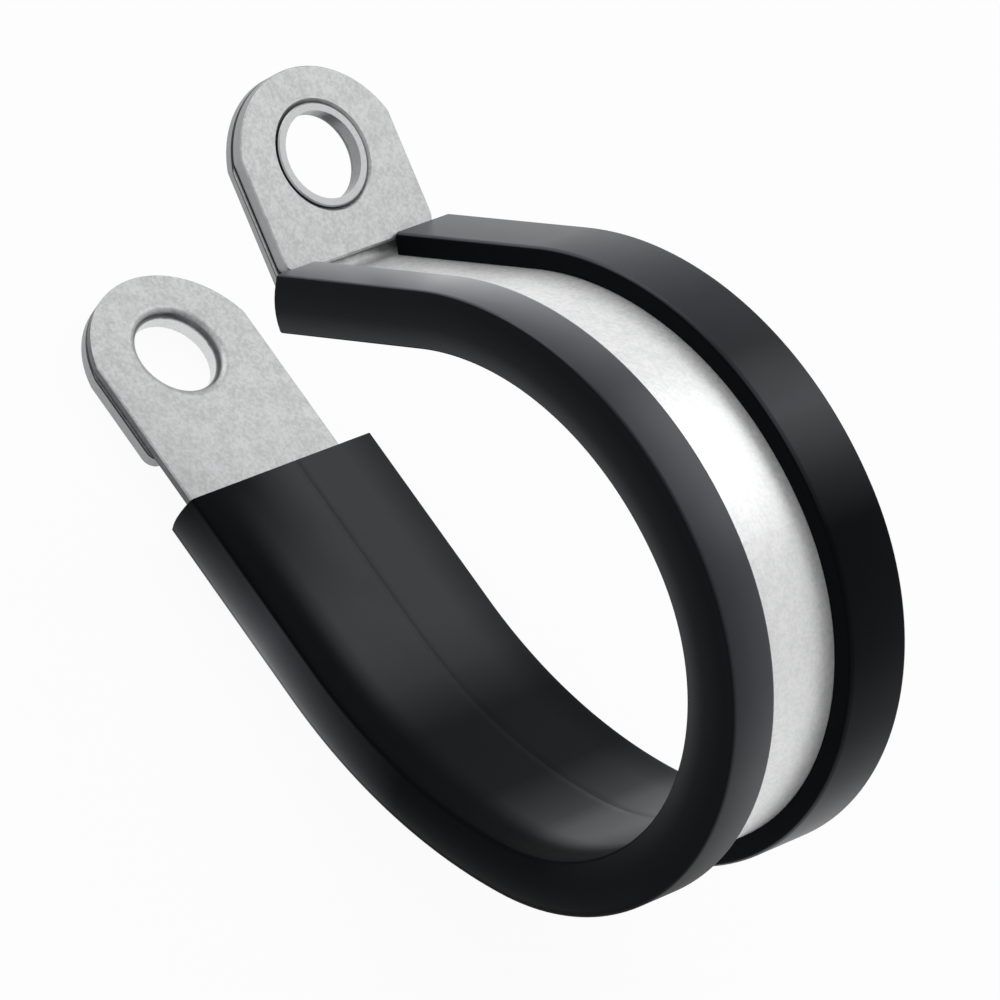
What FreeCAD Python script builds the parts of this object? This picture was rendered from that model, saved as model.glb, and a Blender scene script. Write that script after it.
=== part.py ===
"""A rubber-lined P clip with reinforced ears, open as it comes from its box.

The clip is one steel strip bent into a loop with an ear at each end, a D-shaped plate staked to each ear,
and an extruded rubber channel over the strip. It is drawn as it sits on the surface that it is bolted to:
+Z points away from that surface, the loop's axis runs along Y, and the ears point to -X. The origin is on
the axis of the lower ear's bolt hole, in the face that meets the surface. Lengths are in millimetres and
angles in degrees.
"""

import FreeCAD, Part
import math
import os

import Sketcher

V = FreeCAD.Vector

DIMENSIONS = [
    ("strip_width", 14.6, "steel strip, edge to edge"),
    ("strip_gauge", 0.7, "steel strip, thickness"),
    ("strip_edge", 0.15, "rounding of the strip's slit edges"),
    ("bore_diameter", 32.0, "round thing that the clip holds, and the loop's inner diameter"),
    ("loop_turn", 128.2, "how far the strip is bent to the bore diameter"),
    ("leg_length", 15.15, "straight stretch of the lined lower leg"),
    ("leg_radius", 35.85, "easy curve from the leg into the loop, at the liner's inner face"),
    ("leg_turn", 31.9, "how far that curve turns"),
    ("crown_radius", 21.9, "curve over the top, at the liner's inner face"),
    ("crown_turn", 68.7, "how far the crown turns"),
    ("upper_length", 13.94, "straight stretch from the crown down to the ear's bend"),
    ("ear_bend_radius", 0.8, "inside radius of the bend into the upper ear"),
    ("ear_bend_turn", 68.0, "how far the upper ear is bent out"),
    ("tip_crown", 0.25, "how much the round tips' radius is more than half the strip's width"),
    ("hole_to_tip", 6.45, "centre of a bolt hole to the end of its ear"),
    ("lower_hole_to_liner", 11.86, "centre of the lower hole to the liner's cut end"),
    ("hole_diameter", 6.4, "bolt hole through a collar, for an M6 bolt"),
    ("draw_radius", 0.75, "rounding where the strip runs into a collar"),
    ("collar_wall", 0.45, "wall of a collar, drawn thinner than the strip"),
    ("collar_flare", 0.15, "how far a collar's rim is spread to hold its plate"),
    ("rim_chamfer", 0.1, "broken edges of a collar's rim"),
    ("plate_gauge", 1.0, "reinforcement plates, thickness"),
    ("plate_back", 7.2, "centre of a hole to the straight end of its plate"),
    ("plate_bend_gap", 0.3, "straight end of the upper plate to the ear's bend"),
    ("plate_corner", 1.0, "rounded corners of a plate"),
    ("plate_edge", 0.15, "rounding that the punch leaves on a plate's outer face"),
    ("upper_plate_step", 0.2, "strip that shows beside the upper plate, on each side"),
    ("lower_plate_overhang", 0.12, "how far the lower plate stands out past the strip, on each side"),
    ("sink_depth", 0.5, "countersink in a plate that takes the flared rim"),
    ("sink_spread", 0.42, "how much wider that countersink's mouth is, on each side"),
    ("collar_gap", 0.03, "play between a collar and its plate"),
    ("liner_floor", 1.8, "rubber between the strip and the thing held"),
    ("liner_lip", 1.6, "rubber over the strip's outer face"),
    ("liner_flank", 1.2, "rubber beside the strip's edges, at the lips"),
    ("flank_overhang", 0.35, "how much further a flank stands out at the inner face"),
    ("flank_bulge", 0.3, "how far a flank swells between its corners"),
    ("near_lip", 4.1, "reach of the lip on the -Y side"),
    ("far_lip", 5.5, "reach of the lip on the +Y side"),
    ("liner_corner", 0.35, "rounded long edges of the liner"),
    ("liner_play", 0.03, "play between the strip and its channel"),
    ("liner_end_gap", 0.13, "liner's upper cut end to the upper plate"),
]

CUT_MARGIN = 2.0
CROP_IN_STACKS = 4
LEAST_CUT_VOLUME = 1.0
SKETCH_ORIGIN = -1
START, END = 1, 2
QUARTER_TURN, HALF_TURN, FULL_TURN = 90, 180, 360
ROUND_OFF = 1e-6

doc = FreeCAD.newDocument("PClip")


class Size:
    """A number with the spreadsheet formula that it comes from, so that a constraint gets both."""

    def __init__(self, number, formula=None):
        self.number = float(number)
        self.formula = formula or repr(float(number))

    def _join(self, sign, other, number):
        return Size(number, f"({self.formula} {sign} {other.formula})")

    def __add__(self, other):
        other = as_size(other)
        return self._join("+", other, self.number + other.number)

    def __sub__(self, other):
        other = as_size(other)
        return self._join("-", other, self.number - other.number)

    def __mul__(self, other):
        other = as_size(other)
        return self._join("*", other, self.number * other.number)

    def __truediv__(self, other):
        other = as_size(other)
        return self._join("/", other, self.number / other.number)

    def __neg__(self):
        return Size(-self.number, f"(-1 * {self.formula})")

    def sine(self):
        return Size(math.sin(math.radians(self.number)), f"sin({self.formula})")

    def cosine(self):
        return Size(math.cos(math.radians(self.number)), f"cos({self.formula})")


def as_size(value):
    return value if isinstance(value, Size) else Size(value)


def make_sheet():
    """The spreadsheet with one row for each driving dimension, and the same sizes for use below."""
    sheet = doc.addObject("Spreadsheet::Sheet", "Sizes")
    sizes = {}
    for row, (alias, number, note) in enumerate(DIMENSIONS, start=1):
        sheet.set(f"A{row}", alias)
        sheet.set(f"B{row}", str(number))
        sheet.set(f"C{row}", note)
        sheet.setAlias(f"B{row}", alias)
        sizes[alias] = Size(number, f"Sizes.{alias}")
    doc.recompute()
    return sizes


s = make_sheet()
hole_radius = s["hole_diameter"] / 2
shank_radius = hole_radius + s["collar_wall"]
stack_height = s["plate_gauge"] + s["strip_gauge"]
half_strip = s["strip_width"] / 2
tip_radius = half_strip + s["tip_crown"]
tip_centre = tip_radius - s["hole_to_tip"]
upper_hole_to_bend = s["plate_back"] + s["plate_bend_gap"]
strip_middle = s["plate_gauge"] + s["strip_gauge"] / 2
to_strip = s["liner_floor"] + s["strip_gauge"] / 2


def start_body(label):
    body = doc.addObject("PartDesign::Body", label)
    body.Label = label
    return body


def start_sketch(body, name, role):
    """A sketch of the body's own, on one of its origin planes."""
    sketch = body.newObject("Sketcher::SketchObject", name)
    plane = [p for p in body.Origin.OriginFeatures if p.Role == role][0]
    sketch.AttachmentSupport = [(plane, "")]
    sketch.MapMode = "FlatFace"
    return sketch


def set_size(sketch, constraint, size):
    """Adds a constraint with a value and binds the value to its formula."""
    index = sketch.addConstraint(constraint)
    sketch.setExpression(f"Constraints[{index}]", size.formula)


def pin_point(sketch, edge, end, x, y):
    """Fixes one end of an edge, by its distances from the sketch's origin."""
    for kind, size in (("DistanceX", x), ("DistanceY", y)):
        limits = (kind, SKETCH_ORIGIN, START, edge, end, size.number)
        set_size(sketch, Sketcher.Constraint(*limits), size)


def arc_between(start, end, radius):
    """The short arc between two points, and which of its ends is the first. It swells to the right of the
    way from one to the other, or to the left if the radius is negative."""
    if radius < 0:
        return arc_between(end, start, -radius)[0], (END, START)
    chord = end - start
    to_centre = math.sqrt(radius**2 - (chord.Length / 2) ** 2)
    centre = (start + end) * 0.5 + V(-chord.y, chord.x, 0).normalize() * to_centre
    angles = [math.atan2(p.y - centre.y, p.x - centre.x) for p in (start, end)]
    return Part.ArcOfCircle(Part.Circle(centre, V(0, 0, 1), radius), *angles), (START, END)


def radius_of_swell(chord_squared, rise):
    """The radius of an arc that rises so far above its chord."""
    return chord_squared / (rise * 8) + rise / 2


def draw_outline(sketch, corners):
    """A closed outline. Each corner is (x, y, radius of the edge that leaves it), and a straight edge has
    None for its radius."""
    points = [V(as_size(c[0]).number, as_size(c[1]).number, 0) for c in corners]
    ends = []
    for i, corner in enumerate(corners):
        start, end = points[i], points[(i + 1) % len(points)]
        if corner[2] is None:
            sketch.addGeometry(Part.LineSegment(start, end), False)
            ends.append((START, END))
            continue
        arc, arc_ends = arc_between(start, end, as_size(corner[2]).number)
        sketch.addGeometry(arc, False)
        ends.append(arc_ends)
    for i, corner in enumerate(corners):
        following = (i + 1) % len(corners)
        pin_point(sketch, i, ends[i][0], as_size(corner[0]), as_size(corner[1]))
        sketch.addConstraint(Sketcher.Constraint("Coincident", i, ends[i][1], following, ends[following][0]))
        if corner[2] is not None:
            radius = as_size(corner[2])
            size = radius if radius.number > 0 else -radius
            set_size(sketch, Sketcher.Constraint("Radius", i, size.number), size)


class BentLine:
    """A line of straight runs and bends, drawn from its start as a strip goes through a bending tool."""

    def __init__(self, sketch, x, y):
        self.sketch = sketch
        self.x, self.y = as_size(x), as_size(y)
        self.start = (self.x, self.y)
        self.heading = Size(0)
        self.edges = 0
        self.last_end = None

    def _add(self, geometry, start_end, end_end):
        edge = self.edges
        self.sketch.addGeometry(geometry, False)
        if self.last_end is None:
            pin_point(self.sketch, edge, start_end, *self.start)
            self.sketch.addConstraint(Sketcher.Constraint("Horizontal", edge))
        else:
            join = ("Tangent", edge - 1, self.last_end, edge, start_end)
            self.sketch.addConstraint(Sketcher.Constraint(*join))
        self.last_end = end_end
        self.edges += 1
        return edge

    def run(self, length):
        start = V(self.x.number, self.y.number, 0)
        self.x = self.x + length * self.heading.cosine()
        self.y = self.y + length * self.heading.sine()
        edge = self._add(Part.LineSegment(start, V(self.x.number, self.y.number, 0)), START, END)
        set_size(self.sketch, Sketcher.Constraint("Distance", edge, length.number), length)

    def bend(self, radius, turn, left=True):
        """An arc of that radius, to the left or right of the way the line is going."""
        side = 1 if left else -1
        centre_x = self.x - radius * self.heading.sine() * side
        centre_y = self.y + radius * self.heading.cosine() * side
        before = self.heading.number
        self.heading = self.heading + turn * side
        self.x = centre_x + radius * self.heading.sine() * side
        self.y = centre_y - radius * self.heading.cosine() * side
        low, high = sorted((before, self.heading.number))
        circle = Part.Circle(V(centre_x.number, centre_y.number, 0), V(0, 0, 1), radius.number)
        quarter = QUARTER_TURN * side
        angles = (math.radians(low - quarter), math.radians(high - quarter))
        edge = self._add(Part.ArcOfCircle(circle, *angles), *((START, END) if left else (END, START)))
        set_size(self.sketch, Sketcher.Constraint("Radius", edge, radius.number), radius)
        span = Sketcher.Constraint("Angle", edge, math.radians(turn.number))
        index = self.sketch.addConstraint(span)
        self.sketch.setExpression(f"Constraints[{index}]", f"{turn.formula} * 1 deg")


def bend_round_the_loop(line):
    """The three curves that strip and liner share."""
    line.bend(s["leg_radius"] + to_strip, s["leg_turn"])
    line.bend(s["bore_diameter"] / 2 + to_strip, s["loop_turn"])
    line.bend(s["crown_radius"] + to_strip, s["crown_turn"])


def sweep(body, name, section, spine):
    pipe = body.newObject("PartDesign::AdditivePipe", name)
    pipe.Profile = section
    pipe.Spine = (spine, [f"Edge{i + 1}" for i in range(spine.GeometryCount)])
    doc.recompute()
    return pipe


def where_tip_starts(half_width):
    """How far along the ear the round tip meets straight sides of that half width."""
    reach = math.sqrt(tip_radius.number**2 - half_width.number**2)
    return tip_centre - Size(reach, f"sqrt({tip_radius.formula}^2 - {half_width.formula}^2)")


def place_on_ear(target, prefix, ear):
    """Puts a body or a sketch in an ear's own frame: hole axis at the origin, plate's outer face at zero
    height and the tip to -X. The upper ear's frame is the lower one's, turned half way round about a
    slanted axis."""
    if ear is None:
        return
    rotation = FreeCAD.Rotation(V(ear["axis_x"].number, 0, ear["axis_z"].number), HALF_TURN)
    place = FreeCAD.Placement(V(ear["x"].number, 0, ear["z"].number), rotation)
    setattr(target, prefix, place)
    for path, size in (("Base.x", ear["x"]), ("Base.z", ear["z"]),
                       ("Rotation.Axis.x", ear["axis_x"]), ("Rotation.Axis.z", ear["axis_z"])):
        target.setExpression(f"{prefix}.{path}", size.formula)


def upper_ear_frame(line):
    """Where the upper ear's frame lies, from where and how the strip leaves its last bend."""
    heading = line.heading
    out_x, out_z = heading.sine(), -heading.cosine()
    to_face = stack_height - s["strip_gauge"] / 2
    half_way = (heading + HALF_TURN) / 2
    return {
        "x": line.x + upper_hole_to_bend * heading.cosine() + to_face * out_x,
        "z": line.y + upper_hole_to_bend * heading.sine() + to_face * out_z,
        "axis_x": half_way.cosine(),
        "axis_z": half_way.sine(),
    }


def turn_profile(body, kind, name, ear, corners):
    """A revolved profile about an ear's hole axis: radius across, height above the plate's outer face up."""
    sketch = start_sketch(body, name + "_profile", "XZ_Plane")
    draw_outline(sketch, corners)
    if ear is not None:
        place = FreeCAD.Placement(V(ear["x"].number, ear["z"].number, 0),
                                  FreeCAD.Rotation(V(0, 0, 1), ear["heading"].number))
        sketch.AttachmentOffset = place
        for path, size in (("Base.x", ear["x"]), ("Base.y", ear["z"]), ("Rotation.Angle", ear["heading"])):
            sketch.setExpression(f"AttachmentOffset.{path}", size.formula)
    feature = body.newObject("PartDesign::" + kind, name)
    feature.Profile = sketch
    feature.ReferenceAxis = (sketch, ["V_Axis"])
    feature.Angle = FULL_TURN
    doc.recompute()
    return feature


def draw_collar(body, name, ear):
    """The strip drawn down into a collar round the bolt hole, with its rim spread over the plate."""
    rim = s["rim_chamfer"]
    flare_radius = shank_radius + s["collar_flare"]
    turn_profile(body, "Revolution", name, ear, [
        (hole_radius, 0, None),
        (flare_radius - rim, 0, None),
        (flare_radius, rim, None),
        (shank_radius, s["sink_depth"], None),
        (shank_radius, strip_middle, None),
        (hole_radius, strip_middle, None),
    ])
    before = body.Shape.Volume
    turn_profile(body, "Groove", name + "_bore", ear, [
        (0, -CUT_MARGIN, None),
        (hole_radius, -CUT_MARGIN, None),
        (hole_radius, stack_height - s["draw_radius"], -s["draw_radius"]),
        (hole_radius + s["draw_radius"], stack_height, None),
        (hole_radius + s["draw_radius"], stack_height + CUT_MARGIN, None),
        (0, stack_height + CUT_MARGIN, None),
    ])
    if body.Shape.Volume > before - LEAST_CUT_VOLUME:
        raise RuntimeError(f"{name} has no bolt hole")


def crop_tip(body, name, ear):
    """Cuts the strip's square end to the ear's round tip."""
    corner = where_tip_starts(half_strip)
    side = half_strip + CUT_MARGIN
    end = -(s["hole_to_tip"] + CUT_MARGIN)
    sketch = start_sketch(body, name + "_outline", "XY_Plane")
    draw_outline(sketch, [
        (corner, half_strip, tip_radius),
        (corner, -half_strip, None),
        (corner, -side, None),
        (end, -side, None),
        (end, side, None),
        (corner, side, None),
    ])
    place_on_ear(sketch, "AttachmentOffset", ear)
    before = body.Shape.Volume
    pocket = body.newObject("PartDesign::Pocket", name)
    pocket.Profile = sketch
    pocket.Midplane = True
    pocket.setExpression("Length", (stack_height * CROP_IN_STACKS).formula)
    doc.recompute()
    if body.Shape.Volume > before - LEAST_CUT_VOLUME:
        raise RuntimeError(f"{name} cut nothing")


def rounded_box(half_width, bottom, top, corner):
    """The outline of a bar with rounded long edges."""
    left, right = -half_width, half_width
    return [
        (left + corner, bottom, None),
        (right - corner, bottom, corner),
        (right, bottom + corner, None),
        (right, top - corner, corner),
        (right - corner, top, None),
        (left + corner, top, corner),
        (left, top - corner, None),
        (left, bottom + corner, corner),
    ]


def make_steel_band():
    """One strip, slit with rounded edges, cropped to round tips, pierced and drawn at its ears, and bent."""
    body = start_body("steel_band")
    spine = start_sketch(body, "strip_line", "XZ_Plane")
    line = BentLine(spine, -s["hole_to_tip"], strip_middle)
    line.run(s["hole_to_tip"] + s["lower_hole_to_liner"] + s["leg_length"])
    bend_round_the_loop(line)
    line.run(s["upper_length"])
    line.bend(s["ear_bend_radius"] + s["strip_gauge"] / 2, s["ear_bend_turn"], left=False)
    ear = upper_ear_frame(line)
    ear["heading"] = line.heading
    line.run(upper_hole_to_bend + s["hole_to_tip"])

    section = start_sketch(body, "strip_section", "YZ_Plane")
    section.setExpression("AttachmentOffset.Base.z", (-s["hole_to_tip"]).formula)
    draw_outline(section, rounded_box(half_strip, s["plate_gauge"], stack_height, s["strip_edge"]))
    sweep(body, "bent_strip", section, spine)
    crop_tip(body, "lower_tip", None)
    crop_tip(body, "upper_tip", ear)
    draw_collar(body, "lower_collar", None)
    draw_collar(body, "upper_collar", ear)
    return body, ear


def round_edges(body, base, name, size, wanted):
    """Rounds those edges of a feature that pass a test."""
    fillet = body.newObject("PartDesign::Fillet", name)
    fillet.Base = (base, [f"Edge{i + 1}" for i, edge in enumerate(base.Shape.Edges) if wanted(edge)])
    fillet.setExpression("Radius", size.formula)
    doc.recompute()
    return fillet


def make_plate(label, half_width, ear):
    """A punched D-shaped plate with a countersunk hole that sits over a collar."""
    body = start_body(label)
    shoulder = where_tip_starts(half_width)
    outline = start_sketch(body, label + "_outline", "XY_Plane")
    draw_outline(outline, [
        (shoulder, -half_width, None),
        (s["plate_back"], -half_width, None),
        (s["plate_back"], half_width, None),
        (shoulder, half_width, tip_radius),
    ])
    blank = body.newObject("PartDesign::Pad", label + "_blank")
    blank.Profile = outline
    blank.setExpression("Length", s["plate_gauge"].formula)
    doc.recompute()
    through = s["plate_gauge"].number - ROUND_OFF
    round_edges(body, blank, label + "_corners", s["plate_corner"],
                lambda edge: edge.BoundBox.ZLength > through)
    rounded = round_edges(body, body.Tip, label + "_rounding", s["plate_edge"],
                          lambda edge: edge.BoundBox.ZMax < ROUND_OFF)

    hole = shank_radius + s["collar_gap"]
    mouth = hole + s["sink_spread"]
    turn_profile(body, "Groove", label + "_hole", None, [
        (0, -CUT_MARGIN, None),
        (mouth, -CUT_MARGIN, None),
        (mouth, 0, None),
        (hole, s["sink_depth"], None),
        (hole, s["plate_gauge"] + CUT_MARGIN, None),
        (0, s["plate_gauge"] + CUT_MARGIN, None),
    ])
    if body.Shape.Volume > rounded.Shape.Volume - LEAST_CUT_VOLUME:
        raise RuntimeError(f"{label} has no hole")
    place_on_ear(body, "Placement", ear)
    return body


def make_rubber_liner():
    """The extruded channel, cut to length and pushed over the strip: thick floor inside, two lips outside."""
    body = start_body("rubber_liner")
    spine = start_sketch(body, "liner_line", "XZ_Plane")
    line = BentLine(spine, s["lower_hole_to_liner"], strip_middle)
    line.run(s["leg_length"])
    bend_round_the_loop(line)
    plate_corner_past_bend = (s["plate_gauge"] - s["ear_bend_radius"]) * s["ear_bend_turn"].sine() \
        - s["plate_bend_gap"] * s["ear_bend_turn"].cosine()
    line.run(s["upper_length"] - plate_corner_past_bend - s["liner_end_gap"])

    play, corner = s["liner_play"], s["liner_corner"]
    inner = stack_height + s["liner_floor"]
    outer = s["plate_gauge"] - s["liner_lip"]
    narrow = half_strip + s["liner_flank"]
    wide = narrow + s["flank_overhang"]
    groove = half_strip + play
    ceiling, floor = stack_height + play, s["plate_gauge"] - play
    near_edge, far_edge = s["near_lip"] - narrow, narrow - s["far_lip"]
    drop = inner - outer - corner * 2
    chord_squared = drop * drop + s["flank_overhang"] * s["flank_overhang"]
    flank = radius_of_swell(chord_squared, s["flank_bulge"])
    section = start_sketch(body, "liner_section", "YZ_Plane")
    section.setExpression("AttachmentOffset.Base.z", s["lower_hole_to_liner"].formula)
    draw_outline(section, [
        (corner - wide, inner, corner),
        (-wide, inner - corner, flank),
        (-narrow, outer + corner, corner),
        (corner - narrow, outer, None),
        (near_edge - corner, outer, corner),
        (near_edge, outer + corner, None),
        (near_edge, floor, None),
        (-groove, floor, None),
        (-groove, ceiling, None),
        (groove, ceiling, None),
        (groove, floor, None),
        (far_edge, floor, None),
        (far_edge, outer + corner, corner),
        (far_edge + corner, outer, None),
        (narrow - corner, outer, corner),
        (narrow, outer + corner, flank),
        (wide, inner - corner, corner),
        (wide - corner, inner, None),
    ])
    sweep(body, "bent_channel", section, spine)
    return body


steel_band, upper_ear = make_steel_band()
parts = [
    steel_band,
    make_plate("upper_ear_plate", half_strip - s["upper_plate_step"], upper_ear),
    make_plate("lower_ear_plate", half_strip + s["lower_plate_overhang"], None),
    make_rubber_liner(),
]
doc.recompute()

for item in doc.Objects:
    if "Invalid" in item.State or "Error" in item.State:
        raise RuntimeError(f"{item.Name} failed: {item.State}")
for part in parts:
    if part.Shape.isNull() or not part.Shape.isValid() or len(part.Shape.Solids) != 1:
        raise RuntimeError(f"{part.Label} is not one sound solid")

os.makedirs("parts", exist_ok=True)
for part in parts:
    part.Shape.exportStep(f"parts/{part.Label}.step")
    print(part.Label, round(part.Shape.Volume, 2), part.Shape.BoundBox)
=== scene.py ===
"""The looks of a rubber-lined P clip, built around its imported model. Lengths are in metres."""

from math import asin, atan2, ceil, cos, degrees, hypot, radians, sin

import bpy
from mathutils import Matrix, Vector


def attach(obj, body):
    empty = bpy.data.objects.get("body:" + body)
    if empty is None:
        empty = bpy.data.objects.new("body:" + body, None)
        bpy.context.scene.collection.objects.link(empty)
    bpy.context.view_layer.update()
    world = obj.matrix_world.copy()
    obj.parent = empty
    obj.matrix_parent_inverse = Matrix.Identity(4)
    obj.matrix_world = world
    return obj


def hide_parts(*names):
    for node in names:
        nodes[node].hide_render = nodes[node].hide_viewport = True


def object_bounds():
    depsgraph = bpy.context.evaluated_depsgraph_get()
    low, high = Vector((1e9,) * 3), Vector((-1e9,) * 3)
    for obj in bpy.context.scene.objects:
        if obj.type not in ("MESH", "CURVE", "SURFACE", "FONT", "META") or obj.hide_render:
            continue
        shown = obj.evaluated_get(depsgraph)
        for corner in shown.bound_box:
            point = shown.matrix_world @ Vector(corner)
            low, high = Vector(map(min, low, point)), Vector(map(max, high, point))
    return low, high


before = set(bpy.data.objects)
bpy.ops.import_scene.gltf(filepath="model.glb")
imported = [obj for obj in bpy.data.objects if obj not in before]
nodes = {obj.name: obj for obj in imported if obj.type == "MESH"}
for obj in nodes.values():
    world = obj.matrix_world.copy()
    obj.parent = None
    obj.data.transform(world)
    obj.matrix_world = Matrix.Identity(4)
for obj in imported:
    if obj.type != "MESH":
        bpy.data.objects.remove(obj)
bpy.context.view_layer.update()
MM = 0.001

# The steel band is one strip of zinc-coated steel, slit to width, cropped round at both ends, drawn into a
# collar at each bolt hole, and bent: lower ear and leg, loop, crown, and sharply out into the upper ear. Its
# coat is mottled, painted much lighter in the loop as painted light. Its cut walls are bare and darkened with
# painted shade, and a dark line of painted shade crosses them where a plate meets the strip. The collars
# darken at their rounded entry, the lower bore is light, the upper bore is painted dark as shade, and the
# upper collar's rim is worn.
GAUGE = 0.7 * MM
PLATE_GAUGE = 1.0 * MM
STRIP_MIDDLE = PLATE_GAUGE + GAUGE / 2
HOLE_TO_TIP = 6.45 * MM
HOLE_TO_LINER = 11.86 * MM
PLATE_BACK = 7.2 * MM
PLATE_BEND_GAP = 0.3 * MM
HOLE_TO_BEND = PLATE_BACK + PLATE_BEND_GAP
LEG_LENGTH = 15.15 * MM
UPPER_LENGTH = 13.94 * MM
LINER_FLOOR = 1.8 * MM
TO_STRIP = LINER_FLOOR + GAUGE / 2
ROUND_THE_LOOP = [
    (35.85 * MM + TO_STRIP, radians(31.9)),
    (16.0 * MM + TO_STRIP, radians(128.2)),
    (21.9 * MM + TO_STRIP, radians(68.7)),
]
EAR_BEND_INSIDE, EAR_BEND_TURN = 0.8 * MM, radians(68.0)
HOLE_REACH = 4.2 * MM
MATT_DARK, MATT_LIGHT = (0.397, 0.402, 0.404, 1), (0.543, 0.55, 0.553, 1)
# The loop's mottled coat, painted much lighter than the ears': painted light on the band's bend.
PAINTED_LIT_DARK, PAINTED_LIT_LIGHT = (0.86, 0.865, 0.87, 1), (1.0, 1.0, 1.0, 1)
# The cut walls: bare steel, darkened further as painted shade, and most on the lower ear.
CUT_STEEL_AND_SHADE = (0.36, 0.37, 0.375, 1)
SHEARED_STEEL_AND_SHADE = (0.13, 0.135, 0.14, 1)
DRAWN_DARK, DRAWN_LIGHT = (0.11, 0.115, 0.12, 1), (0.8, 0.81, 0.81, 1)
# The upper bore's wall, painted dark as the shade inside the hole.
SHADED_BORE = (0.28, 0.285, 0.29, 1)
# A near-black line of painted shade where a plate meets the strip, and half its width.
GAP_SHADE = (0.015, 0.015, 0.017, 1)
GAP_SHADE_HALF = 0.1 * MM
WORN_RIM = (0.46, 0.467, 0.47, 1)
ZINC_METALLIC, LESS_IN_LOOP = 0.7, 0.2
ENTRY_END, BORE_START = 0.75, 0.98
FADE, BEND_FADE = 1.0 * MM, 0.4 * MM
LOWER_EAR_TOP = 3.0 * MM
UPPER_EAR_END = 9.0 * MM


class StripLine:
    """The strip's middle line in the XZ plane, followed from a start as runs and bends."""

    def __init__(self, x, z):
        self.x, self.z, self.heading = x, z, 0.0
        self.stations = [(x, z, 0.0)]

    def run(self, length, steps=1):
        for i in range(steps):
            self.x += length / steps * cos(self.heading)
            self.z += length / steps * sin(self.heading)
            self.stations.append((self.x, self.z, self.heading))

    def bend(self, radius, turn, steps=1):
        """A bend to the left, or to the right if the turn is negative."""
        reach = radius if turn > 0 else -radius
        for i in range(steps):
            before = self.heading
            self.heading += turn / steps
            self.x += reach * (sin(self.heading) - sin(before))
            self.z -= reach * (cos(self.heading) - cos(before))
            self.stations.append((self.x, self.z, self.heading))


whole = StripLine(-HOLE_TO_TIP, STRIP_MIDDLE)
whole.run(HOLE_TO_TIP + HOLE_TO_LINER + LEG_LENGTH)
for curve in ROUND_THE_LOOP:
    whole.bend(*curve)
whole.run(UPPER_LENGTH)
whole.bend(EAR_BEND_INSIDE + GAUGE / 2, -EAR_BEND_TURN)
whole.run(HOLE_TO_BEND)
EAR_ALONG = Vector((cos(whole.heading), 0, sin(whole.heading)))
EAR_OUT = Vector((sin(whole.heading), 0, -cos(whole.heading)))
UPPER_HOLE = Vector((whole.x, 0, whole.z)) + EAR_OUT * STRIP_MIDDLE
LOWER_HOLE = Vector((0, 0, 0))
LOWER_OUT = Vector((0, 0, -1))


class Sum:
    """An output of a shader node. Sums on it add Math nodes."""

    def __init__(self, finish, socket):
        self.finish, self.socket = finish, socket

    def _math(self, operation, *values):
        return self.finish.node("ShaderNodeMath", {"operation": operation}, *values)

    def __add__(self, other):
        return self._math("ADD", self, other)

    def __sub__(self, other):
        return self._math("SUBTRACT", self, other)

    def __rsub__(self, other):
        return self._math("SUBTRACT", other, self)

    def __mul__(self, other):
        return self._math("MULTIPLY", self, other)

    def __abs__(self):
        return self._math("ABSOLUTE", self)

    __radd__ = __add__


class Finish:
    """One material: its node tree, with the shader that its constants are set on."""

    COLOUR_INPUTS, COLOUR_OUTPUT = (0, 6, 7), 2

    def __init__(self, name, **constants):
        self.material = bpy.data.materials.new(name)
        self.material.use_nodes = True
        self.tree = self.material.node_tree
        self.tree.nodes.clear()
        self.shader = self.tree.nodes.new("ShaderNodeBsdfPrincipled")
        output = self.tree.nodes.new("ShaderNodeOutputMaterial")
        self.tree.links.new(self.shader.outputs[0], output.inputs["Surface"])
        self.paint(**constants)

    def feed(self, socket, value):
        if isinstance(value, Sum):
            self.tree.links.new(value.socket, socket)
        else:
            socket.default_value = value

    def node(self, kind, settings, *inputs, output=0, **named):
        """Any node: its settings first, then its sockets by place or by name."""
        made = self.tree.nodes.new(kind)
        for setting, value in settings.items():
            setattr(made, setting, value)
        for place, value in enumerate(inputs):
            self.feed(made.inputs[place], value)
        for name, value in named.items():
            self.feed(made.inputs[name.replace("_", " ")], value)
        return Sum(self, made.outputs[output])

    def paint(self, **sockets):
        for name, value in sockets.items():
            self.feed(self.shader.inputs[name.replace("_", " ")], value)

    def place(self):
        """Where on the clip, in metres."""
        return self.node("ShaderNodeTexCoord", {}, output="Object")

    def normal(self):
        return self.node("ShaderNodeNewGeometry", {}, output="Normal")

    def along(self, vector, axis, start=None):
        """How far a place or a normal reaches along an axis, counted from a start."""
        dot = {"operation": "DOT_PRODUCT"}
        reach = self.node("ShaderNodeVectorMath", dot, vector, axis, output="Value")
        return reach if start is None else reach - start.dot(axis)

    def noise(self, place, lump, detail=3.0, roughness=0.6):
        """Cloudy noise from 0 to 1, with lumps of about that size."""
        return self.node("ShaderNodeTexNoise", {}, output=0, Vector=place, Scale=1 / lump, Detail=detail,
                         Roughness=roughness)

    def rise(self, value, low, high):
        """0 below the low value, 1 above the high one, and smooth between them."""
        return self.node("ShaderNodeMapRange", {"interpolation_type": "SMOOTHSTEP"}, Value=value,
                         From_Min=low, From_Max=high)

    def blend(self, share, first, second):
        """A mix of two colours."""
        mixed = self.tree.nodes.new("ShaderNodeMix")
        mixed.data_type = "RGBA"
        for place, value in zip(self.COLOUR_INPUTS, (share, first, second)):
            self.feed(mixed.inputs[place], value)
        return Sum(self, mixed.outputs[self.COLOUR_OUTPUT])

    def bump(self, height, depth, strength=1.0):
        return self.node("ShaderNodeBump", {}, Strength=strength, Distance=depth, Height=height)


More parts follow.
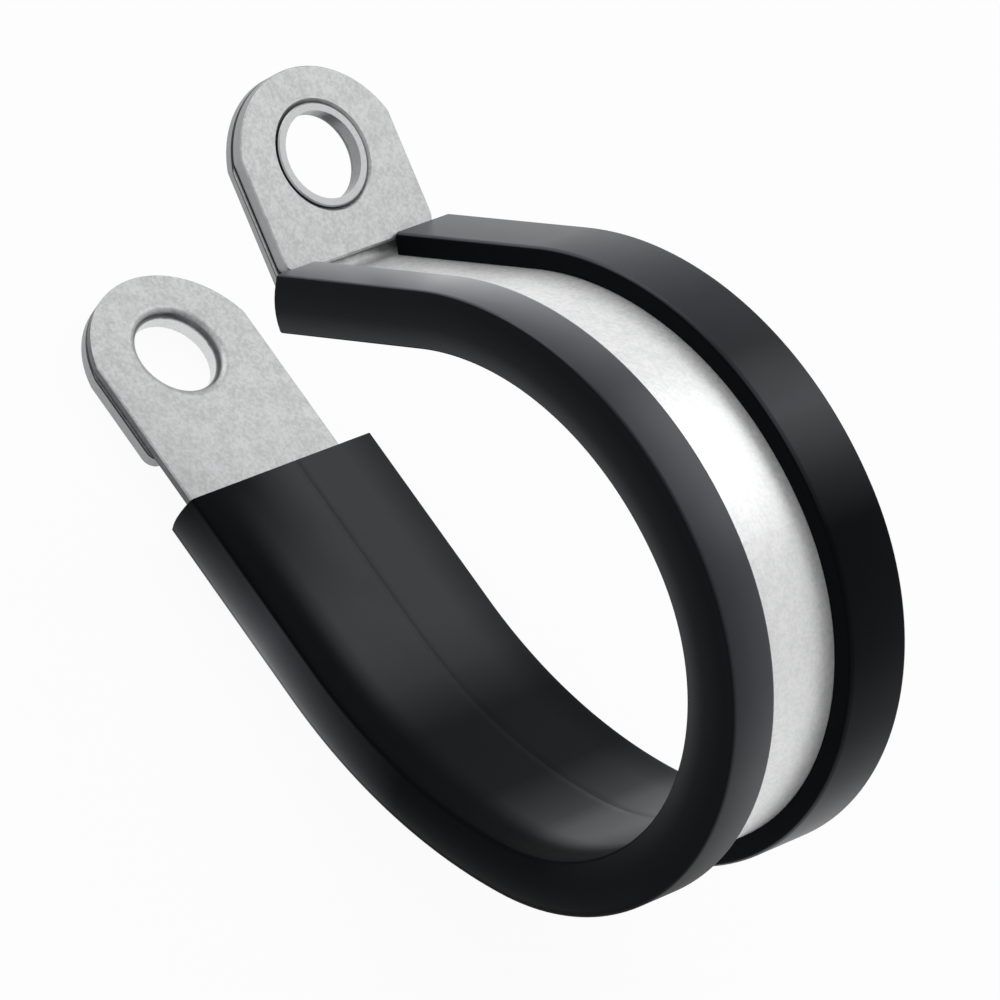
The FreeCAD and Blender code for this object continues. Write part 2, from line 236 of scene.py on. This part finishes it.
class ZincFinish(Finish):
    """Zinc-coated steel: a mottled coat on the faces, and on the cut walls bare streaked metal in painted
    shade.
    """

    GRAIN, CLOUD = 0.3 * MM, 1.0 * MM
    GRAIN_SHARE, CLOUD_SHARE = 0.7, 0.3
    MOTTLE_LOW, MOTTLE_HIGH = 0.36, 0.64
    FACE_END, WALL_START = 0.3, 0.8
    COAT_DEPTH, COAT_STRENGTH = 0.03 * MM, 0.4

    def __init__(self, name):
        super().__init__(name, Metallic=ZINC_METALLIC)
        self.at = self.place()
        self.facing = self.normal()
        self.grain = self.noise(self.at, self.GRAIN, 4.0, 0.65)
        self.cloud = self.noise(self.at, self.CLOUD, 2.0)
        self.coat = self.grain * self.GRAIN_SHARE + self.cloud * self.CLOUD_SHARE
        self.mottle = self.rise(self.coat, self.MOTTLE_LOW, self.MOTTLE_HIGH)

    def seam(self, hole, out):
        """1 in the plane where the plate and the strip meet, where the gap's shade is painted."""
        from_joint = self.along(self.at, out, hole) + PLATE_GAUGE
        return 1 - self.rise(abs(from_joint), GAP_SHADE_HALF, GAP_SHADE_HALF * 2)

    def dress(self, face, wall, seam, cut_colour_and_shade=CUT_STEEL_AND_SHADE, smooth=0.0):
        """Paints the faces, the walls where the mask says, darkened as shade, and a line of painted shade
        across them.
        """
        streaks = self.noise(self.at, self.GRAIN * 2, 3.0)
        cut_wall = self.rise(wall, self.FACE_END, self.WALL_START)
        # How much of the walls' bare metal in painted shade shows, streaked.
        bare_and_shade = cut_wall * (0.75 + streaks * 0.45)
        self.paint(Base_Color=self.blend(seam * cut_wall, self.blend(bare_and_shade, face, cut_colour_and_shade), GAP_SHADE))
        self.paint(Roughness=0.3 + self.grain * 0.2 + bare_and_shade * 0.1 - cut_wall * smooth)
        self.paint(Normal=self.bump(self.coat, self.COAT_DEPTH, self.COAT_STRENGTH))

    def within(self, radius, hole, axis):
        """1 closer than that radius to the axis through a hole, and fading out about it."""
        from_hole = self.node("ShaderNodeVectorMath", {"operation": "SUBTRACT"}, self.at, hole)
        off_axis = self.node("ShaderNodeVectorMath", {"operation": "CROSS_PRODUCT"}, from_hole, axis)
        distance = self.node("ShaderNodeVectorMath", {"operation": "LENGTH"}, off_axis, output="Value")
        return 1 - self.rise(distance, radius * 0.95, radius * 1.05)

    def square_to(self, out):
        """1 where the surface's normal is square to that direction, as a wall's is."""
        return 1 - abs(self.along(self.facing, out))


band = ZincFinish("zinc_strip")
past_hole = band.along(band.at, (1, 0, 0))
rising = band.along(band.at, (0, 0, 1))
along_ear = band.along(band.at, EAR_ALONG, UPPER_HOLE)
on_lower_ear = (1 - band.rise(past_hole, HOLE_TO_LINER, HOLE_TO_LINER + FADE)) \
    * (1 - band.rise(rising, LOWER_EAR_TOP, LOWER_EAR_TOP + FADE))
on_upper_ear = band.rise(along_ear, -HOLE_TO_BEND - BEND_FADE, -HOLE_TO_BEND) \
    * (1 - band.rise(past_hole, UPPER_EAR_END, UPPER_EAR_END + FADE)) * (1 - on_lower_ear)
in_loop = 1 - on_lower_ear - on_upper_ear
matt = band.blend(band.mottle, MATT_DARK, MATT_LIGHT)
# The coat again, painted lighter for the loop as painted light.
painted_lit_loop = band.blend(band.mottle, PAINTED_LIT_DARK, PAINTED_LIT_LIGHT)
cut = on_lower_ear * band.square_to(LOWER_OUT) + on_upper_ear * band.square_to(EAR_OUT) \
    + in_loop * abs(band.along(band.facing, (0, 1, 0)))
in_upper_bore = on_upper_ear * band.within(HOLE_REACH, UPPER_HOLE, EAR_OUT)
in_lower_bore = on_lower_ear * band.within(HOLE_REACH, LOWER_HOLE, LOWER_OUT)
in_bore = in_lower_bore + in_upper_bore
# Where the gap's shade between plate and strip is painted across the walls.
gap_shades = on_lower_ear * band.seam(LOWER_HOLE, LOWER_OUT) + on_upper_ear * band.seam(UPPER_HOLE, EAR_OUT)
face = band.blend(in_loop, band.blend(in_upper_bore, matt, WORN_RIM), painted_lit_loop)
# The walls' colour, bare steel darkened as painted shade, darkest on the lower ear.
wall_colour_and_shade = band.blend(on_lower_ear, CUT_STEEL_AND_SHADE, SHEARED_STEEL_AND_SHADE)
# The lower bore's wall stays light; the upper one's is painted dark as shade.
bore_colour_and_shade = band.blend(on_lower_ear, SHADED_BORE, DRAWN_LIGHT)
drawn = band.blend(band.rise(cut, ENTRY_END, BORE_START), DRAWN_DARK, bore_colour_and_shade)
cut_colour_and_shade = band.blend(in_bore, wall_colour_and_shade, drawn)
band.dress(face, cut * (in_lower_bore + 1), gap_shades * (1 - in_bore), cut_colour_and_shade, in_bore * 0.2)
band.paint(Metallic=ZINC_METALLIC - in_loop * LESS_IN_LOOP)

# The two ear plates are D-shaped blanks punched from thicker zinc-coated sheet. Each is set over a collar of
# the strip, whose rim is then spread into the countersink round the hole to hold it.


def finish_plate(node, hole, out):
    plate = ZincFinish(node + "_zinc")
    face = plate.blend(plate.mottle, MATT_DARK, MATT_LIGHT)
    plate.dress(face, plate.square_to(out), plate.seam(hole, out))
    return plate.material


for node, material in (("steel_band", band.material),
                       ("upper_ear_plate", finish_plate("upper_ear_plate", UPPER_HOLE, EAR_OUT)),
                       ("lower_ear_plate", finish_plate("lower_ear_plate", LOWER_HOLE, LOWER_OUT))):
    nodes[node].data.materials.clear()
    nodes[node].data.materials.append(material)

# The liner is an extruded channel of black rubber, cut square to length and pushed over the strip. Its thick
# floor lines the loop, its flanks swell a little, and two lips of unequal reach fold over the strip's outer
# face. The die leaves a thin line along the floor.
PLAY = 0.03 * MM
FLANK = 1.2 * MM
FLANK_OVERHANG = 0.35 * MM
FLANK_BULGE = 0.3 * MM
LIP = 1.6 * MM
NEAR_LIP, FAR_LIP = 4.1 * MM, 5.5 * MM
CORNER = 0.35 * MM
HALF_STRIP = 7.3 * MM
LINER_TO_PLATE = 0.13 * MM
PLATE_PAST_BEND = (PLATE_GAUGE - EAR_BEND_INSIDE) * sin(EAR_BEND_TURN) - PLATE_BEND_GAP * cos(EAR_BEND_TURN)
END_GAP = PLATE_PAST_BEND + LINER_TO_PLATE
DIE_LINE, DIE_LINE_HALF, DIE_LINE_DEPTH = 1.3 * MM, 0.1 * MM, 0.035 * MM
CORNER_STEPS, FLANK_STEPS = 6, 14
STATION_LENGTH = 0.6 * MM
SHARP_EDGE = radians(40)
# Painted sheen on the rubber, as stops of a place and a share: painted highlights that lighten its colour and
# raise its coat. FLOOR_START and LEG_FLANK_SHEEN go by the millimetres past the lower hole, and the other
# sheens by the degrees turned from the leg. FLOOR_NEAR_START and the edges go by the millimetres across, and
# the rises by those over the strip's middle.
FLOOR_SHEEN = ((0, 0.27), (6, 0.23), (13, 0.06), (24, 0.06), (38, 0.5), (60, 0.6))
FLOOR_START = ((12.0, 0.0), (24.0, 1.0))
FLOOR_NEAR_START = ((-7.5, 0.0), (-3.5, 0.15), (0.5, 1.0))
FLOOR_NEAR_EDGE = ((-6.4, 0.0), (-4.4, 1.0))
FLOOR_FAR_EDGE = ((5.5, 1.0), (8.3, 0.5))
NEAR_LIP_SHEEN = ((62, 0.0), (82, 0.08), (98, 0.35), (112, 0.55), (150, 0.5), (190, 0.56), (205, 1.0),
                  (220, 1.5))
NEAR_LIP_EDGE = ((-8.5, 0.1), (-7.8, 1.0))
FAR_LIP_SHEEN = ((75, 0.45), (90, 0.35), (100, 0.2), (112, 0.08), (130, 0.02), (156, 0.0), (165, 0.1),
                 (176, 0.34), (188, 0.17), (200, 0.25), (215, 0.47), (229, 0.56))
LEG_FLANK_SHEEN = ((12.0, 0.1), (16.0, 0.4), (23.0, 0.8), (29.0, 0.45), (38.0, 0.0))
LEG_FLANK_RISE = ((-1.2, 1.0), (1.6, 0.35))
LEG_ENDS_AT = 45
FLANK_SHEEN = ((LEG_ENDS_AT, 0.0), (80, 0.05), (130, 0.25), (190, 0.3), (229, 0.25))
FLANK_RISE = ((-1.2, 0.15), (0.4, 0.3), (1.8, 1.0))


def arc_between(start, end, radius, steps):
    """Points after the start, on the short arc to the end, which swells to the right of the way."""
    chord = Vector(end) - Vector(start)
    half_turn = asin(chord.length / 2 / radius)
    to_centre = radius * cos(half_turn)
    centre = (Vector(start) + Vector(end)) / 2 + Vector((-chord.y, chord.x)).normalized() * to_centre
    first = atan2(start[1] - centre.y, start[0] - centre.x)
    return [(centre.x + radius * cos(first + 2 * half_turn * i / steps),
             centre.y + radius * sin(first + 2 * half_turn * i / steps)) for i in range(1, steps + 1)]


def floor_points(start, end):
    """Even places across the floor, both ends among them, so that it stays flat beside its line."""
    steps = ceil(abs(end - start) / STATION_LENGTH)
    return [start + (end - start) * i / steps for i in range(steps + 1)]


def liner_section():
    """The channel's outline as (across, height over the strip's middle), seen along the strip."""
    inner, outer = TO_STRIP, -GAUGE / 2 - LIP
    ceiling = GAUGE / 2 + PLAY
    narrow = HALF_STRIP + FLANK
    wide = narrow + FLANK_OVERHANG
    groove = HALF_STRIP + PLAY
    near_edge, far_edge = NEAR_LIP - narrow, narrow - FAR_LIP
    drop = inner - outer - 2 * CORNER
    flank = hypot(drop, FLANK_OVERHANG) ** 2 / (8 * FLANK_BULGE) + FLANK_BULGE / 2
    corners = [
        (CORNER - wide, inner, CORNER),
        (-wide, inner - CORNER, flank),
        (-narrow, outer + CORNER, CORNER),
        (CORNER - narrow, outer, None),
        (near_edge - CORNER, outer, CORNER),
        (near_edge, outer + CORNER, None),
        (near_edge, -ceiling, None),
        (-groove, -ceiling, None),
        (-groove, ceiling, None),
        (groove, ceiling, None),
        (groove, -ceiling, None),
        (far_edge, -ceiling, None),
        (far_edge, outer + CORNER, CORNER),
        (far_edge + CORNER, outer, None),
        (narrow - CORNER, outer, CORNER),
        (narrow, outer + CORNER, flank),
        (wide, inner - CORNER, CORNER),
        *((y, inner, None) for y in floor_points(wide - CORNER, DIE_LINE + DIE_LINE_HALF)),
        (DIE_LINE, inner - DIE_LINE_DEPTH, None),
        *((y, inner, None) for y in floor_points(DIE_LINE - DIE_LINE_HALF, CORNER - wide)[:-1]),
    ]
    points = []
    for i, (y, height, radius) in enumerate(corners):
        start, end = (y, height), corners[(i + 1) % len(corners)][:2]
        if radius is None:
            points.append(end)
        else:
            points.extend(arc_between(start, end, radius, FLANK_STEPS if radius == flank else CORNER_STEPS))
    return points


def ramp(value, stops):
    """The height at a value of the line through the stops."""
    for (low, before), (high, after) in zip(stops, stops[1:]):
        if value < high:
            return before + (after - before) * max(0.0, value - low) / (high - low)
    return stops[-1][1]


def sheen(x, y, height, heading):
    """The painted highlight on the floor, a flank or a lip; the groove and its mouth get none and stay dark.
    """
    turned = degrees(heading)
    if height > TO_STRIP - CORNER / 2:
        past_start = ramp(x / MM, FLOOR_START)
        near = ramp(y / MM, FLOOR_NEAR_START) * (1 - past_start) + ramp(y / MM, FLOOR_NEAR_EDGE) * past_start
        return ramp(turned, FLOOR_SHEEN) * near * ramp(y / MM, FLOOR_FAR_EDGE)
    if abs(y) > HALF_STRIP + FLANK - CORNER / 2:
        if turned < LEG_ENDS_AT:
            return ramp(x / MM, LEG_FLANK_SHEEN) * ramp(height / MM, LEG_FLANK_RISE)
        return ramp(turned, FLANK_SHEEN) * ramp(height / MM, FLANK_RISE)
    if height > -GAUGE / 2 - LIP + CORNER / 2:
        return 0.0
    if y < 0:
        return ramp(turned, NEAR_LIP_SHEEN) * ramp(y / MM, NEAR_LIP_EDGE)
    return ramp(turned, FAR_LIP_SHEEN)


def swept_mesh(name, section, stations):
    """The section carried along the strip's line, with a flat cut at both ends."""
    points, painted_sheen = [], []
    for x, z, heading in stations:
        points.extend((x - height * sin(heading), y, z + height * cos(heading)) for y, height in section)
        painted_sheen.extend(sheen(x, y, height, heading) for y, height in section)
    count, last = len(section), (len(stations) - 1) * len(section)
    faces = [(row + i, row + (i + 1) % count, row + count + (i + 1) % count, row + count + i)
             for row in range(0, last, count) for i in range(count)]
    faces.append(tuple(reversed(range(count))))
    faces.append(tuple(range(last, last + count)))
    mesh = bpy.data.meshes.new(name)
    mesh.from_pydata(points, [], faces)
    mesh.update()
    mesh.attributes.new("sheen", "FLOAT", "POINT").data.foreach_set("value", painted_sheen)
    piece = bpy.data.objects.new(name, mesh)
    bpy.context.scene.collection.objects.link(piece)
    return piece


line = StripLine(HOLE_TO_LINER, STRIP_MIDDLE)
line.run(LEG_LENGTH, ceil(LEG_LENGTH / STATION_LENGTH))
for radius, turn in ROUND_THE_LOOP:
    line.bend(radius, turn, ceil(radius * turn / STATION_LENGTH))
line.run(UPPER_LENGTH - END_GAP, ceil(UPPER_LENGTH / STATION_LENGTH))
liner = swept_mesh("lining", liner_section(), line.stations)
liner.data.set_sharp_from_angle(angle=SHARP_EDGE)
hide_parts("rubber_liner")
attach(liner, "root")

# The rubber is near black; the painted sheen lightens its colour and raises its coat as painted highlights.
RUBBER_DARK, RUBBER_PAINTED_SHEEN = (0.002, 0.0025, 0.0035, 1), (0.08, 0.088, 0.102, 1)
rubber = Finish("black_rubber", Specular_IOR_Level=0.04, Coat_Roughness=0.3, Coat_IOR=1.6)
at = rubber.place()
cloud = rubber.noise(at, 3.0 * MM, 3.0)
grain = rubber.noise(at, 0.12 * MM, 3.0)
sheen_map = rubber.node("ShaderNodeAttribute", {"attribute_name": "sheen"}, output="Fac")
painted_sheen = sheen_map * (0.9 + cloud * 0.2)
rubber.paint(Base_Color=rubber.blend(painted_sheen, RUBBER_DARK, RUBBER_PAINTED_SHEEN))
rubber.paint(Roughness=0.45 + cloud * 0.1)
rubber.paint(Coat_Weight=painted_sheen)
rubber.paint(Normal=rubber.bump(grain, 0.01 * MM, 0.5))
liner.data.materials.append(rubber.material)

# The table and the studio: a white sheet that shows as plain white, with the clip's soft shadow, in an even
# white room, with one large soft box high behind the clip and another on its left.
WHITE_SHARE = 0.94
PAPER = (0.9, 0.9, 0.9, 1)
TABLE_SIZE = 6.0
ROOM_LIGHT = 0.7
BOX_DISTANCE, BOX_SIZE = 0.5, 0.35
HAIR = 0.02 * MM
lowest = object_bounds()[0][2]
middle = (Vector(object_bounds()[0]) + Vector(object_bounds()[1])) / 2


def light_path(tree):
    """1 for the rays that should see plain white: the camera's, mirrored and refracted ones."""
    rays = tree.nodes.new("ShaderNodeLightPath")
    total = rays.outputs["Is Camera Ray"]
    for kind in ("Is Glossy Ray", "Is Transmission Ray"):
        joined = tree.nodes.new("ShaderNodeMath")
        joined.operation = "MAXIMUM"
        tree.links.new(total, joined.inputs[0])
        tree.links.new(rays.outputs[kind], joined.inputs[1])
        total = joined.outputs[0]
    return total


bpy.ops.mesh.primitive_plane_add(size=TABLE_SIZE, location=(middle.x, middle.y, lowest - HAIR))
table = bpy.context.object
table.name = "table"
paper = bpy.data.materials.new("paper")
paper.use_nodes = True
tree = paper.node_tree
tree.nodes.clear()
white = tree.nodes.new("ShaderNodeEmission")
sheet = tree.nodes.new("ShaderNodeBsdfDiffuse")
sheet.inputs["Color"].default_value = PAPER
share = tree.nodes.new("ShaderNodeMath")
share.operation = "MULTIPLY"
share.inputs[1].default_value = WHITE_SHARE
tree.links.new(light_path(tree), share.inputs[0])
mixed = tree.nodes.new("ShaderNodeMixShader")
for socket, source in zip(mixed.inputs, (share, sheet, white)):
    tree.links.new(source.outputs[0], socket)
tree.links.new(mixed.outputs[0], tree.nodes.new("ShaderNodeOutputMaterial").inputs["Surface"])
table.data.materials.append(paper)

room = bpy.data.worlds.new("room")
room.use_nodes = True
tree = room.node_tree
tree.nodes.clear()
seen, lit = tree.nodes.new("ShaderNodeBackground"), tree.nodes.new("ShaderNodeBackground")
lit.inputs["Strength"].default_value = ROOM_LIGHT
mixed = tree.nodes.new("ShaderNodeMixShader")
tree.links.new(light_path(tree), mixed.inputs[0])
tree.links.new(lit.outputs[0], mixed.inputs[1])
tree.links.new(seen.outputs[0], mixed.inputs[2])
tree.links.new(mixed.outputs[0], tree.nodes.new("ShaderNodeOutputWorld").inputs["Surface"])
bpy.context.scene.world = room


def soft_box(name, direction, power):
    lamp = bpy.data.lights.new(name, "AREA")
    lamp.shape = "DISK"
    lamp.size = BOX_SIZE
    lamp.energy = power
    holder = bpy.data.objects.new(name, lamp)
    holder.location = middle + Vector(direction).normalized() * BOX_DISTANCE
    holder.rotation_euler = Vector(direction).to_track_quat("Z", "Y").to_euler()
    bpy.context.scene.collection.objects.link(holder)


soft_box("back_box", (-0.1, 0.65, 0.72), 0.4)
soft_box("left_box", (-0.8, 0.1, 0.6), 0.5)

# The camera looks down on the clip from its near side through a long lens, and leans to its left, so that the
# clip stands aslant in the picture.
CAMERA_AT = Vector((199.12, -405.52, 455.80)) * MM
CAMERA_RIGHT = Vector((0.560724, 0.705105, 0.434069))
CAMERA_BACK = Vector((0.278087, -0.654155, 0.703384))
LENS_LENGTH = 324.0
FARTHEST_SEEN = 10.0
camera = bpy.data.objects.new("camera", bpy.data.cameras.new("camera"))
camera.data.lens = LENS_LENGTH
camera.data.clip_end = FARTHEST_SEEN
camera_axes = Matrix((CAMERA_RIGHT, CAMERA_BACK.cross(CAMERA_RIGHT), CAMERA_BACK)).transposed()
camera.matrix_world = Matrix.LocRotScale(CAMERA_AT, camera_axes, None)
bpy.context.scene.collection.objects.link(camera)
bpy.context.scene.camera = camera
bpy.context.scene.view_settings.view_transform = "Standard"
